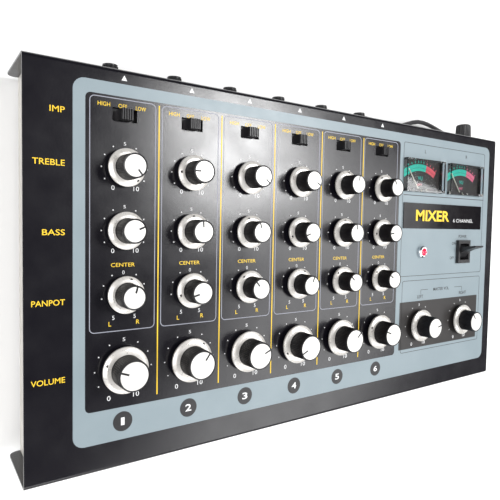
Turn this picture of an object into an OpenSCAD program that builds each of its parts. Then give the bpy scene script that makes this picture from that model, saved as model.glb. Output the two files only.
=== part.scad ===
// Six-channel desktop audio mixer with a stereo master section.
// Lies on its feet: X runs along the panel, Y to the rear, Z up.
// The origin is on the table, under the middle of the box round the object.

/* [Case] */
// Length of the front panel along X
panel_w = 432; // [430:1:440]
// Width of the front panel along Y
panel_d = 232; // [230:1:240]
// Depth of the folded front and rear flanges
case_depth = 52; // [50:1:56]
// Thickness of the folded sheet steel
sheet = 1.2; // [1.0:0.1:1.5]
// Outside radius of the two long folds
fold_r = 2.6; // [2.2:0.1:3.0]
// How far each side wall stands in from the panel's end
side_inset = 6.5; // [6:0.5:8]
// Height of the rubber feet
foot_h = 5; // [4:0.5:8]

/* [Channels] */
// Spacing of the channel columns
pitch = 43; // [43:0.5:44]
// Length of the slide switch slot
slot_w = 14.6; // [14.2:0.2:15]
// Width of the slide switch slot
slot_d = 7.6; // [7.4:0.2:8]
// Height of the slider above the panel
slider_h = 5; // [3:0.5:6]

/* [Knobs] */
// Radius of the metal skirt of a tone knob
tone_skirt_r = 11.6; // [11:0.1:12]
// Radius of the grip of a tone knob
tone_grip_r = 7.3; // [7:0.1:8]
// Height of a tone knob above the panel
tone_h = 17.4; // [16:0.2:19]
// Radius of the metal skirt of a volume knob
level_skirt_r = 14.3; // [14:0.1:15]
// Radius of the grip of a volume knob
level_grip_r = 9.3; // [9:0.1:10]
// Height of a volume knob above the panel
level_h = 18; // [17:0.2:20]
// Radius of the potentiometer shafts
shaft_r = 3; // [2.8:0.1:3.1]

/* [Master section] */
// Width of a level meter's window
meter_w = 51.6; // [50:0.2:52]
// Height of a level meter's window
meter_d = 28; // [27:0.2:29]
// Height of the meter windows above the panel
meter_h = 3.8; // [3:0.2:5]
// Width of the name plate
plate_w = 113; // [108:1:114]
// Height of the name plate
plate_d = 22; // [20:1:23]

/* [Rear panel] */
// Radius of the input socket bores, for 6.35 mm jack plugs
jack_r = 3.25; // [3.2:0.05:3.3]
// How far the input sockets stand out of the rear flange
jack_out = 9; // [8:0.5:10]
// How far the fuse cap stands out of the rear flange
fuse_out = 15.5; // [14:0.5:18]

/* [Mains lead] */
// Diameter of the mains lead
cord_d = 4; // [3.8:0.2:4.2]

/* [Hidden] */
// Heights, from the table up.
top_z = foot_h + case_depth;
under_z = top_z - sheet;
base_z = foot_h;
// The rear fittings move the panel's middle off the origin.
screw_head = 1.8;
panel_y = (screw_head - fuse_out) / 2;
rear_y = panel_y + panel_d / 2;
front_y = panel_y - panel_d / 2;
wall_x = panel_w / 2 - side_inset;

// Layout on the panel, measured from its middle. The nodes name six channels.
channels = 6;
channel_x0 = -161.5;
volume_y = panel_y - 57;
panpot_y = volume_y + 44;
bass_y = volume_y + 81;
treble_y = volume_y + 117;
switch_y = volume_y + 147;
master_x = [106.8, 166.8];
meter_y = volume_y + 130.6;
lamp_pos = [107, volume_y + 64.6];
power_pos = [166.8, volume_y + 64];
plate_pos = [138, volume_y + 96];
function channel_x(i) = channel_x0 + i * pitch;

// Rear fittings: heights of their axes, and where they sit along X.
jack_z = top_z - 27;
output_x = [20, 38];
output_z = top_z - 39;
fuse_x = 192;
fuse_z = top_z - 20;
relief_x = 72;
relief_z = 19;
relief_off = 6.5;

// Small gap between separate pieces of one group, and running clearance
// between a shaft and its bearing.
gap = 0.05;
bush_r = shaft_r + 0.05;
nut_h = 2;
knob_z = 2.8;
pot_depth = 8;

// The meters: the dial lies below the panel and the needle turns above it,
// on a pivot that the panel hides.
dial_z = top_z - 4;
flange_z = top_z - 2;
meter_depth = 22;
window_wall = 1.2;
window_foot = 2.4;
pivot_off = -15.6;
needle_len = 27;
needle_z = top_z - 3.2;
needle_rest = 38;

// The power switch: its lever leans back to ON at rest.
barrel_r = 7;
barrel_w = 12.8;
lever_len = 23;
lever_lean = 14;
lever_z = top_z - 4.5;
bezel_h = 3;

// Rubber feet, and the screws that hold them.
foot_at = [[-190, -98], [190, -98], [-190, 98], [190, 98]];
flange_screw_x = [-190, -11, 130];
lip_h = 13;

// The lead's route from the strain relief to the coil, and on to the plug.
lay_z = cord_d / 2;
lead_y = rear_y + relief_off;
lead = [
    [98, lead_y, 19], [105, lead_y, 19], [112, lead_y + 0.5, 18.9],
    [120, lead_y + 1.8, 18.6], [130, lead_y + 4.9, 17.9],
    [140, lead_y + 8, 16.7], [150, lead_y + 10.1, 15.1],
    [160, lead_y + 10.8, 13.3], [170, lead_y + 10.5, 11.5],
    [180, lead_y + 9.6, 9.6], [190, lead_y + 8.5, 7.6],
    [200, lead_y + 7.3, 5.7], [210, lead_y + 5.9, 4],
    [220, lead_y + 4.5, 2.7], [230, lead_y + 2.9, lay_z],
    [240, lead_y + 1.3, lay_z], [246, lead_y + 0.6, lay_z],
    [252, lead_y + 0.35, lay_z]
];
coil_mid_r = 24;
coil_turns = 5;
coil_layers = 2;
coil_outer_r = coil_mid_r + (coil_turns - 1) * cord_d / 2;
coil_c = [252, lead_y + 0.35 - coil_outer_r];
coil_right = coil_c[0] + coil_outer_r;
tail = [
    [coil_right, 84, 6], [coil_right, 75, 6], [coil_right - 1, 66, 5.9],
    [280, 57.5, 4.8], [275.5, 49.5, 4.1], [270.7, 41.5, 4.1],
    [267.3, 33, 4.7], [266, 24, 5.8], [266, 16, 6.5]
];
plug_pos = [266, 16, 6.5];
plug_size = [17, 30, 13];

$fn = 48;

// ---- shapes that repeat ----

// A block given by its middle in X and Y and its lowest and highest Z.
module block(c, size, z0, z1) {
    translate([c[0] - size[0] / 2, c[1] - size[1] / 2, z0])
        cube([size[0], size[1], z1 - z0]);
}

// A bar along Y from y0 to y1, at x and z.
module bar_y(x, z, y0, y1, r1, r2) {
    translate([x, y0, z])
        rotate([-90, 0, 0])
            cylinder(r1 = r1, r2 = r2, h = y1 - y0);
}

module at_channels() {
    for (i = [0 : channels - 1])
        translate([channel_x(i), 0, 0])
            children();
}

// Every place on the panel that has a potentiometer.
module at_pots() {
    for (y = [treble_y, bass_y, panpot_y, volume_y])
        translate([0, y, top_z])
            at_channels()
                children();
    for (x = master_x)
        translate([x, volume_y, top_z])
            children();
}

module at_meters() {
    for (x = master_x)
        translate([x, meter_y, 0])
            children();
}

// One loop of a round tube along a list of points.
function unit(v) = v / norm(v);
function heading(p, i) =
    unit(p[min(i + 1, len(p) - 1)] - p[max(i - 1, 0)]);
function ring(p, i, r, sides) =
    let (t = heading(p, i),
         side = unit(cross(t, [0, 0, 1])),
         up = cross(side, t))
    [for (k = [0 : sides - 1])
        p[i] + r * cos(360 * k / sides) * side
             + r * sin(360 * k / sides) * up];

module tube(p, r, sides) {
    last = len(p) - 1;
    rings = [for (i = [0 : last]) each ring(p, i, r, sides)];
    walls = [for (i = [0 : last - 1]) for (k = [0 : sides - 1])
        let (a = i * sides + k, b = i * sides + (k + 1) % sides)
        [a, b, b + sides, a + sides]];
    ends = [
        [for (k = [sides - 1 : -1 : 0]) k],
        [for (k = [0 : sides - 1]) last * sides + k]
    ];
    polyhedron(points = rings, faces = concat(walls, ends));
}

// ---- case ----

// Outline of the folded sheet, Y across and Z up, inside and outside.
module fold_outline(half, r, low, high) {
    translate([-half, low])
        square([2 * half, high - r - low]);
    translate([-half + r, low])
        square([2 * half - 2 * r, high - low]);
    for (s = [-1, 1])
        translate([s * (half - r), high - r])
            circle(r = r);
}

module flange_corner_cut(x, z_axis_r) {
    difference() {
        translate([x, 0, base_z])
            cube([2 * z_axis_r, panel_d + 20, 2 * z_axis_r], center = true);
        for (s = [-1, 1])
            translate([x - s * z_axis_r, 0, base_z + z_axis_r])
                rotate([90, 0, 0])
                    cylinder(r = z_axis_r, h = panel_d + 22, center = true);
    }
}

module top_panel() {
    corner_r = 5;
    color("#1c1a22")
    difference() {
        translate([-panel_w / 2, panel_y, 0])
            rotate([90, 0, 90])
                linear_extrude(panel_w)
                    difference() {
                        fold_outline(panel_d / 2, fold_r, base_z, top_z);
                        fold_outline(panel_d / 2 - sheet, fold_r - sheet,
                                     base_z - 1, under_z);
                    }
        for (s = [-1, 1])
            translate([s * panel_w / 2, panel_y, 0])
                flange_corner_cut(0, corner_r);
        at_pots()
            cylinder(r = 4, h = 4 * sheet, center = true);
        at_channels()
            block([0, switch_y], [slot_w, slot_d], under_z - 1, top_z + 1);
        at_meters()
            block([0, 0], [meter_w + 0.2, meter_d + 0.2], under_z - 1, top_z + 1);
        block(power_pos, [16.6, 19.8], under_z - 1, top_z + 1);
        translate([lamp_pos[0], lamp_pos[1], under_z - 1])
            cylinder(r = 4.1, h = sheet + 2);
        rear_holes();
        for (x = flange_screw_x)
            bar_y(x, base_z + 7, front_y - 1, rear_y + 1, 1.6, 1.6);
    }
}

module rear_holes() {
    y0 = rear_y - sheet - 1;
    y1 = rear_y + 1;
    for (i = [0 : channels - 1])
        bar_y(channel_x(i), jack_z, y0, y1, 4.7, 4.7);
    for (x = output_x)
        bar_y(x, output_z, y0, y1, 4.3, 4.3);
    bar_y(fuse_x, fuse_z, y0, y1, 6.4, 6.4);
    bar_y(relief_x, relief_z, y0, y1, 4.2, 4.2);
}

// Bottom plate with upturned lips and full-height side walls.
module base_tray() {
    half_y = panel_d / 2 - sheet - 0.1;
    inner = [2 * (wall_x - sheet), 2 * (half_y - sheet)];
    mid = [0, panel_y];
    color("#d9d2c8")
    difference() {
        union() {
            block(mid, [2 * wall_x, 2 * half_y], base_z, under_z - fold_r);
            block(mid, [2 * wall_x, 2 * (half_y - fold_r)], base_z,
                  under_z - 0.1);
        }
        block(mid, inner, base_z + sheet, top_z);
        block(mid, [2 * (wall_x - sheet), panel_d], base_z + lip_h, top_z);
        for (x = flange_screw_x)
            bar_y(x, base_z + 7, front_y, rear_y, 1.6, 1.6);
        for (x = output_x)
            bar_y(x, output_z, rear_y - 6, rear_y, 6.3, 6.3);
        bar_y(relief_x, relief_z, rear_y - 6, rear_y, 6.3, 6.3);
        for (f = foot_at)
            translate([f[0], f[1] + panel_y, base_z - 1])
                cylinder(r = 2.1, h = sheet + 2);
    }
}

module rubber_feet() {
    color("#202020")
    for (f = foot_at)
        translate([f[0], f[1] + panel_y, 0])
            difference() {
                cylinder(r1 = 8.6, r2 = 9.8, h = foot_h);
                translate([0, 0, -1])
                    cylinder(r = 4.4, h = 3.5);
                cylinder(r = 2.1, h = foot_h + 1);
            }
}

// Pan-head screw pointing along -Z, its head's underside at the origin.
module screw(head_r, head_h, shank_r, shank_l) {
    translate([0, 0, -shank_l])
        cylinder(r = shank_r, h = shank_l + head_h / 2);
    cylinder(r1 = head_r, r2 = head_r * 0.72, h = head_h);
}

module case_screws() {
    color("#3a3a3e") {
        for (x = flange_screw_x) {
            translate([x, rear_y, base_z + 7])
                rotate([-90, 0, 0])
                    screw(3, screw_head, 1.5, 6);
            translate([x, front_y, base_z + 7])
                rotate([90, 0, 0])
                    screw(3, screw_head, 1.5, 6);
        }
        for (f = foot_at)
            translate([f[0], f[1] + panel_y, 2.5])
                rotate([180, 0, 0])
                    screw(3.6, screw_head, 2, 6);
    }
}

// ---- electronics inside the case ----

module circuit_boards() {
    board_t = 1.6;
    board_top = under_z - pot_depth - 1.3;
    board_mid = [-54, panel_y - 1];
    board = [256, 170];
    supply_mid = [166, panel_y - 36];
    supply_z = 12;
    color("#3f6b3a")
        block(board_mid, board, board_top - board_t, board_top);
    color("#3f6b3a")
        block(supply_mid, [56, 46], supply_z, supply_z + board_t);
    color("#b99a4a") {
        for (sx = [-1, 1])
            for (sy = [-1, 1]) {
                translate([board_mid[0] + sx * 120, board_mid[1] + sy * 78,
                           base_z + sheet + gap])
                    cylinder(r = 3, h = board_top - board_t - base_z
                             - sheet - 2 * gap);
                translate([supply_mid[0] + sx * 24, supply_mid[1] + sy * 19,
                           base_z + sheet + gap])
                    cylinder(r = 2.5, h = supply_z - base_z - sheet - 2 * gap);
            }
    }
    color("#27364f")
    for (k = [-1, 1])
        translate([supply_mid[0] + 14 * k, supply_mid[1],
                   supply_z + board_t + gap])
            cylinder(r = 6, h = 16);
    color("#1b1b1b")
    for (i = [0 : channels - 1])
        block([channel_x(i), panpot_y + 18], [10, 20],
              board_top - board_t - 4, board_top - board_t - gap);
}

// Laminated core with its winding, on the base.
module transformer() {
    c = [108, panel_y - 22];
    z0 = base_z + sheet + gap;
    color("#77787c")
    difference() {
        block(c, [44, 20], z0, z0 + 28);
        for (s = [-1, 1])
            block([c[0] + 11 * s, c[1]], [8, 22], z0 + 6, z0 + 22);
    }
    color("#a5622e")
    difference() {
        block(c, [29, 34], z0 + 6.2, z0 + 21.8);
        block(c, [14.4, 20.2], z0 + 5, z0 + 23);
        for (s = [-1, 1])
            block([c[0] + 15.2 * s, c[1]], [1.2, 21], z0 + 5, z0 + 23);
    }
}

// Potentiometers: can, threaded bushing, and the bore that the shaft turns in.
module pot_bodies() {
    color("#9a9a98")
    at_pots()
        difference() {
            union() {
                translate([0, 0, -sheet - pot_depth])
                    cylinder(r = 8, h = pot_depth);
                translate([0, 0, -sheet - 1])
                    cylinder(r = 3.9, h = sheet + 1 + nut_h + 0.4);
            }
            translate([0, 0, -sheet - pot_depth + 1])
                cylinder(r = bush_r, h = pot_depth + 10);
        }
}

module pot_nuts() {
    color("#b9b9b6")
    at_pots()
        difference() {
            cylinder(r = 5.8, h = nut_h, $fn = 6);
            translate([0, 0, -1])
                cylinder(r = 3.9 + gap, h = nut_h + 2);
        }
}

module slide_switch_bodies() {
    body = [24, 12];
    color("#8d8f92")
    at_channels()
        difference() {
            block([0, switch_y], body, under_z - 9, under_z);
            block([0, switch_y], [21, 9.2], under_z - 7.6, under_z + 1);
        }
}

// ---- rear fittings ----

module input_jacks() {
    body_l = 24;
    y_in = rear_y - sheet;
    color("#26262a")
    for (i = [0 : channels - 1])
        difference() {
            union() {
                block([channel_x(i), y_in - body_l / 2], [14, body_l],
                      jack_z - 6, jack_z + 6);
                bar_y(channel_x(i), jack_z, y_in - 1, rear_y + jack_out,
                      4.6, 4.6);
            }
            bar_y(channel_x(i), jack_z, y_in - body_l + 1,
                  rear_y + jack_out + 1, jack_r, jack_r);
        }
}

module jack_nuts() {
    color("#c9c9c6")
    for (i = [0 : channels - 1])
        translate([channel_x(i), rear_y, jack_z])
            rotate([-90, 0, 0])
                difference() {
                    cylinder(r = 6.6, h = 2.4, $fn = 6);
                    translate([0, 0, -1])
                        cylinder(r = 4.6 + gap, h = 5);
                }
}

// Two phono sockets for the left and right outputs.
module output_sockets() {
    color("#b8b4aa")
    for (x = output_x)
        difference() {
            union() {
                bar_y(x, output_z, rear_y - sheet - 9, rear_y - sheet, 6, 6);
                bar_y(x, output_z, rear_y - sheet - 1, rear_y + 8, 4.15, 4.15);
                bar_y(x, output_z, rear_y, rear_y + 1, 5.6, 5.6);
            }
            bar_y(x, output_z, rear_y, rear_y + 9, 1.6, 1.6);
        }
}

module fuse_holder_body() {
    color("#18181a")
        difference() {
            union() {
                bar_y(fuse_x, fuse_z, rear_y - 25, rear_y, 6.2, 6.2);
                bar_y(fuse_x, fuse_z, rear_y, rear_y + 1.4, 7.8, 7.8);
            }
            bar_y(fuse_x, fuse_z, rear_y - 23.5, rear_y + 3, 4.2, 4.2);
        }
}

// Bayonet cap with its plug that carries the fuse.
module fuse_cap() {
    color("#222226") {
        bar_y(fuse_x, fuse_z, rear_y + 1.6, rear_y + fuse_out, 7.4, 6.7);
        bar_y(fuse_x, fuse_z, rear_y - 12, rear_y + 2, 3.9, 3.9);
    }
}

// Elbow strain relief: the lead leaves along the rear face.
module strain_relief() {
    relief_l = lead[0][0] - relief_x;
    color("#1b1b1e") {
        bar_y(relief_x, relief_z, rear_y - 3, lead_y, 4.1, 4.1);
        bar_y(relief_x, relief_z, rear_y - sheet - 2.5, rear_y - sheet - 0.1,
              6, 6);
        translate([relief_x, lead_y, relief_z])
            sphere(r = 4.6);
        bar_y(relief_x, relief_z, rear_y, lead_y, 4.6, 4.6);
        translate([relief_x, lead_y, relief_z])
            rotate([0, 90, 0])
                cylinder(r1 = 4.6, r2 = 2.8, h = relief_l);
    }
}

// ---- meters ----

// Housings behind the panel, each with the pivot pin of its needle.
module meter_movements() {
    low_y = pivot_off - 6;
    high_y = meter_d / 2 + 2;
    w = meter_w + 4;
    d = high_y - low_y;
    mid = [0, (low_y + high_y) / 2];
    floor_z = dial_z - 0.8;
    color("#2b2b2e")
    at_meters() {
        difference() {
            block(mid, [w, d], top_z - meter_depth, flange_z);
            block(mid, [w - 2.4, d - 2.4], floor_z, top_z);
            block(mid, [w - 8, d - 8], top_z - meter_depth + 1.5, top_z);
        }
        translate([0, pivot_off, top_z - meter_depth + 1.5])
            cylinder(r = 0.8, h = needle_z + 1 - (top_z - meter_depth + 1.5));
    }
}

module meter_dials() {
    low_y = pivot_off - 4.6;
    high_y = meter_d / 2 + 0.7;
    color("#33302f")
    at_meters()
        difference() {
            block([0, (low_y + high_y) / 2], [meter_w + 1.4, high_y - low_y],
                  dial_z - 0.8 + gap, dial_z);
            translate([0, pivot_off, dial_z - 2])
                cylinder(r = 2, h = 4);
        }
}

// Clear windows that stand through the panel on a hidden foot.
module meter_windows() {
    low_y = pivot_off - 6;
    high_y = meter_d / 2 + 2;
    view_low = -meter_d / 2 + window_foot;
    view_high = meter_d / 2 - window_wall;
    color("#e8eef0", 0.35)
    at_meters()
        difference() {
            union() {
                block([0, (low_y + high_y) / 2],
                      [meter_w + 4, high_y - low_y], flange_z + gap, under_z);
                block([0, 0], [meter_w, meter_d], flange_z + gap,
                      top_z + meter_h);
            }
            block([0, (view_low + view_high) / 2],
                  [meter_w - 2 * window_wall, view_high - view_low],
                  flange_z - 1, top_z + meter_h - window_wall);
        }
}

// Needle at its left stop, with a hub on the pivot pin.
module needle(x) {
    color("#e9e2cf")
    translate([x, meter_y + pivot_off, needle_z])
        rotate([0, 0, needle_rest])
            difference() {
                union() {
                    cylinder(r = 1.8, h = 0.6);
                    translate([-0.35, 0, 0])
                        cube([0.7, needle_len, 0.6]);
                    translate([-0.6, -4, 0])
                        cube([1.2, 4, 0.6]);
                }
                translate([0, 0, -1])
                    cylinder(r = 0.85, h = 3);
            }
}
module needle_left() { needle(master_x[0]); }
module needle_right() { needle(master_x[1]); }

// ---- master section ----

module name_plate() {
    color("#121014")
        block(plate_pos, [plate_w, plate_d], top_z, top_z + 0.8);
}

module pilot_lamp_bezel() {
    color("#cfd0d2")
    translate([lamp_pos[0], lamp_pos[1], top_z])
        difference() {
            union() {
                cylinder(r = 5.1, h = 2.4);
                translate([0, 0, 2.4])
                    cylinder(r1 = 5.1, r2 = 4.2, h = 1);
                translate([0, 0, -12])
                    cylinder(r = 4, h = 13);
                translate([0, 0, -sheet - 2])
                    cylinder(r = 6.4, h = 2, $fn = 6);
            }
            translate([0, 0, -10])
                cylinder(r = 3.2, h = 20);
        }
}

module pilot_lamp_lens() {
    lens_r = 3.1;
    color("#e01030", 0.7)
    translate([lamp_pos[0], lamp_pos[1], top_z]) {
        translate([0, 0, -8])
            cylinder(r = lens_r, h = 10.4);
        intersection() {
            translate([0, 0, 2])
                sphere(r = lens_r);
            translate([0, 0, 2])
                cylinder(r = lens_r, h = 4);
        }
    }
}

module power_switch_body() {
    pin_r = 1.55;
    color("#17171a")
    difference() {
        union() {
            block(power_pos, [16.4, 19.6], top_z - 20, top_z + 1);
            block(power_pos, [18, 21.4], top_z, top_z + bezel_h);
        }
        block(power_pos, [barrel_w + 0.6, 2 * barrel_r + 1.2], lever_z - 9,
              top_z + 6);
        translate([power_pos[0], power_pos[1], lever_z])
            rotate([0, 90, 0])
                cylinder(r = pin_r, h = 15.6, center = true);
    }
}

// Barrel, stub pins and a tapered flat paddle.
module power_lever() {
    paddle_w = 12;
    pin_r = 1.5;
    color("#26262a")
    translate([power_pos[0], power_pos[1], lever_z])
        rotate([-lever_lean, 0, 0]) {
            rotate([0, 90, 0])
                cylinder(r = barrel_r, h = barrel_w, center = true);
            rotate([0, 90, 0])
                cylinder(r = pin_r, h = 15.2, center = true);
            rotate([90, 0, 90])
                linear_extrude(paddle_w, center = true)
                    polygon([
                        [-4.6, 5], [-2.2, 9], [-1.1, 14], [-0.9, lever_len - 1],
                        [-0.4, lever_len], [0.4, lever_len],
                        [0.9, lever_len - 1], [1.6, 14], [2.8, 9], [4.6, 5]
                    ]);
        }
}

// ---- controls that the hand turns and slides ----

// Ribbed slider: button above the panel, carriage inside the switch.
module slider(i) {
    button = [7, 6.4];
    color("#1d1c20") {
        block([channel_x(i), switch_y], button, under_z - 6, top_z + slider_h);
        block([channel_x(i), switch_y], [13, 8.4], under_z - 5, under_z - 2);
    }
}
module slider_1() { slider(0); }
module slider_2() { slider(1); }
module slider_3() { slider(2); }
module slider_4() { slider(3); }
module slider_5() { slider(4); }
module slider_6() { slider(5); }

// Knob on its shaft: moulded grip, bevelled metal skirt and metal cap.
module knob(x, y, skirt_r, grip_r, h) {
    cap_r = grip_r - 0.9;
    cap_t = 0.9;
    shaft_in = 9;
    skirt_t = 1.4;
    bevel = 1.2;
    translate([x, y, top_z]) {
        color("#15141a")
        difference() {
            translate([0, 0, knob_z])
                cylinder(r1 = grip_r, r2 = grip_r - 0.3, h = h - knob_z);
            translate([0, 0, h - cap_t])
                cylinder(r = cap_r + gap, h = 2);
            translate([0, 0, knob_z - 1])
                cylinder(r = shaft_r + gap, h = shaft_in + 1.2);
        }
        color("#d8d6d0")
        translate([0, 0, knob_z + 0.3])
            difference() {
                union() {
                    cylinder(r = skirt_r, h = skirt_t);
                    translate([0, 0, skirt_t])
                        cylinder(r1 = skirt_r, r2 = skirt_r - 2.2, h = bevel);
                }
                translate([0, 0, -1])
                    cylinder(r = grip_r + gap, h = 5);
            }
        color("#e4e2dc")
        translate([0, 0, h - cap_t + gap])
            cylinder(r = cap_r, h = cap_t - gap);
        color("#a8a8a4")
        translate([0, 0, -sheet - pot_depth + 1.3])
            cylinder(r = shaft_r,
                     h = sheet + pot_depth - 1.3 + knob_z + shaft_in);
    }
}

module tone_knob(i, y) {
    knob(channel_x(i), y, tone_skirt_r, tone_grip_r, tone_h);
}
module level_knob(x) {
    knob(x, volume_y, level_skirt_r, level_grip_r, level_h);
}
module treble_knob_1() { tone_knob(0, treble_y); }
module treble_knob_2() { tone_knob(1, treble_y); }
module treble_knob_3() { tone_knob(2, treble_y); }
module treble_knob_4() { tone_knob(3, treble_y); }
module treble_knob_5() { tone_knob(4, treble_y); }
module treble_knob_6() { tone_knob(5, treble_y); }
module bass_knob_1() { tone_knob(0, bass_y); }
module bass_knob_2() { tone_knob(1, bass_y); }
module bass_knob_3() { tone_knob(2, bass_y); }
module bass_knob_4() { tone_knob(3, bass_y); }
module bass_knob_5() { tone_knob(4, bass_y); }
module bass_knob_6() { tone_knob(5, bass_y); }
module panpot_knob_1() { tone_knob(0, panpot_y); }
module panpot_knob_2() { tone_knob(1, panpot_y); }
module panpot_knob_3() { tone_knob(2, panpot_y); }
module panpot_knob_4() { tone_knob(3, panpot_y); }
module panpot_knob_5() { tone_knob(4, panpot_y); }
module panpot_knob_6() { tone_knob(5, panpot_y); }
module volume_knob_1() { level_knob(channel_x(0)); }
module volume_knob_2() { level_knob(channel_x(1)); }
module volume_knob_3() { level_knob(channel_x(2)); }
module volume_knob_4() { level_knob(channel_x(3)); }
module volume_knob_5() { level_knob(channel_x(4)); }
module volume_knob_6() { level_knob(channel_x(5)); }
module master_knob_left() { level_knob(master_x[0]); }
module master_knob_right() { level_knob(master_x[1]); }

// ---- mains lead ----

module mains_cord() {
    color("#2c2b2e") {
        tube(lead, cord_d / 2, 10);
        tube(tail, cord_d / 2, 10);
    }
}

module cord_coil() {
    half_w = coil_turns * cord_d / 2;
    color("#2c2b2e")
    translate([coil_c[0], coil_c[1], 0])
        rotate_extrude()
            translate([coil_mid_r - half_w, 0])
                square([2 * half_w, coil_layers * cord_d]);
}

// Moulded plug with two round pins, lying flat.
module mains_plug() {
    neck = 14;
    color("#1c1b1e")
    translate(plug_pos) {
        rotate([90, 0, 0])
            cylinder(r1 = 2.8, r2 = 5, h = neck);
        block([0, -neck - plug_size[1] / 2], [plug_size[0], plug_size[1]],
              -plug_size[2] / 2, plug_size[2] / 2);
    }
    color("#c8a860")
    for (s = [-1, 1])
        translate([plug_pos[0] + 5 * s, plug_pos[1] - neck - plug_size[1],
                   plug_pos[2]])
            rotate([90, 0, 0])
                cylinder(r = 2, h = 17);
}

top_panel();
base_tray();
rubber_feet();
case_screws();
circuit_boards();
transformer();
pot_bodies();
pot_nuts();
slide_switch_bodies();
input_jacks();
jack_nuts();
output_sockets();
fuse_holder_body();
fuse_cap();
strain_relief();
meter_movements();
meter_dials();
meter_windows();
needle_left();
needle_right();
name_plate();
pilot_lamp_bezel();
pilot_lamp_lens();
power_switch_body();
power_lever();
mains_cord();
cord_coil();
mains_plug();
slider_1();
slider_2();
slider_3();
slider_4();
slider_5();
slider_6();
treble_knob_1();
treble_knob_2();
treble_knob_3();
treble_knob_4();
treble_knob_5();
treble_knob_6();
bass_knob_1();
bass_knob_2();
bass_knob_3();
bass_knob_4();
bass_knob_5();
bass_knob_6();
panpot_knob_1();
panpot_knob_2();
panpot_knob_3();
panpot_knob_4();
panpot_knob_5();
panpot_knob_6();
volume_knob_1();
volume_knob_2();
volume_knob_3();
volume_knob_4();
volume_knob_5();
volume_knob_6();
master_knob_left();
master_knob_right();
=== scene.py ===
"""Six-channel audio mixer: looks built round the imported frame, in metres."""
import math

import bmesh
import bpy
from mathutils import Matrix, Quaternion, Vector
from mathutils.geometry import tessellate_polygon


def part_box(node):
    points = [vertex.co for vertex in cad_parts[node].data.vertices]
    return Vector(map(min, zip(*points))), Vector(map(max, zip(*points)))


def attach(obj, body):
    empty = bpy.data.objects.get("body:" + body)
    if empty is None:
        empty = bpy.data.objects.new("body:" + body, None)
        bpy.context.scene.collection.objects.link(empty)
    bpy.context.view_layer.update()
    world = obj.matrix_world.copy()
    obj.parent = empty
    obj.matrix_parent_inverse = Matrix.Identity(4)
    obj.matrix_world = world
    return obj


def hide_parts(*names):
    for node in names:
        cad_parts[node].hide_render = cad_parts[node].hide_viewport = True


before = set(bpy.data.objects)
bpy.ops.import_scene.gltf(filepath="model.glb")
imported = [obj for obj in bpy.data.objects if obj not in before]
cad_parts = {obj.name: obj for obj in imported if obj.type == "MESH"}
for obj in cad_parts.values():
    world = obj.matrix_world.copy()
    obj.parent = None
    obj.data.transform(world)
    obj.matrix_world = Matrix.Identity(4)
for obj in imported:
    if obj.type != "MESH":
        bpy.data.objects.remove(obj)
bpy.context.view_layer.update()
scene = bpy.context.scene
MM = 0.001


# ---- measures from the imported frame, in millimetres ----

def box_mm(node):
    low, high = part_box(node)
    return low / MM, high / MM


def middle(node):
    low, high = box_mm(node)
    return (low + high) / 2


TOP = box_mm("name_plate")[0].z
ORIGIN = Vector((middle("volume_knob_1").x, middle("volume_knob_1").y, TOP))
REAR_Y = box_mm("top_panel")[1].y
CHANNEL_X = [middle(f"volume_knob_{i}").x - ORIGIN.x for i in range(1, 7)]
TONE_ROWS = {row: middle(f"{row}_knob_1").y - ORIGIN.y
             for row in ("treble", "bass", "panpot")}
SWITCH_Y = middle("slider_1").y - ORIGIN.y
MASTER_X = [middle(f"master_knob_{side}").x - ORIGIN.x for side in ("left", "right")]
METER_UP = 13.6
METER_Y = TONE_ROWS["treble"] + METER_UP

# Where the pointers stand at rest, in degrees clockwise from straight up.
POINTERS = {
    "treble": (141, -90, 132, 119, 7, -33),
    "bass": (67, -5, -19, -109, -8, -94),
    "panpot": (15, -105, -40, 18, -46, -53),
    "volume": (-70, 36, 67, -115, 47, -68),
}
MASTER_POINTERS = {"left": 77, "right": -35}


# ---- camera ----

CAMERA_AT = (-262.3, 21.8, 339.0)
CAMERA_TURN = (0.95663, -0.02659, -0.29009, 0.00113)
CAMERA_LENS = 36.07


def add_camera():
    data = bpy.data.cameras.new("camera")
    data.sensor_width = 36
    data.lens = CAMERA_LENS
    data.clip_start = 0.01
    data.clip_end = 20
    camera = bpy.data.objects.new("camera", data)
    camera.location = Vector(CAMERA_AT) * MM
    camera.rotation_mode = "QUATERNION"
    camera.rotation_quaternion = Quaternion(CAMERA_TURN)
    scene.collection.objects.link(camera)
    scene.camera = camera


# ---- materials ----

IOR = 1.45
COAT_ROUGHNESS = 0.05
WEAR_EDGE = 0.04


def node_of(tree, kind, **settings):
    node = tree.nodes.new(kind)
    for key, value in settings.items():
        node.inputs[key].default_value = value
    return node


def noise(tree, coords, scale, detail=4.0, roughness=0.55):
    made = node_of(tree, "ShaderNodeTexNoise", Scale=scale, Detail=detail,
                   Roughness=roughness)
    tree.links.new(coords, made.inputs["Vector"])
    return made.outputs["Fac"]


def spread(tree, value, low, high, start=0.3, end=0.7):
    made = node_of(tree, "ShaderNodeMapRange",
                   **{"From Min": start, "From Max": end,
                      "To Min": low, "To Max": high})
    tree.links.new(value, made.inputs["Value"])
    return made.outputs["Result"]


def mixed(tree, factor, a, b):
    made = tree.nodes.new("ShaderNodeMix")
    made.data_type = "RGBA"
    tree.links.new(factor, made.inputs[0])
    for socket, value in ((made.inputs[6], a), (made.inputs[7], b)):
        if isinstance(value, bpy.types.NodeSocket):
            tree.links.new(value, socket)
        else:
            socket.default_value = (*value, 1)
    return made.outputs[2]


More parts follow.
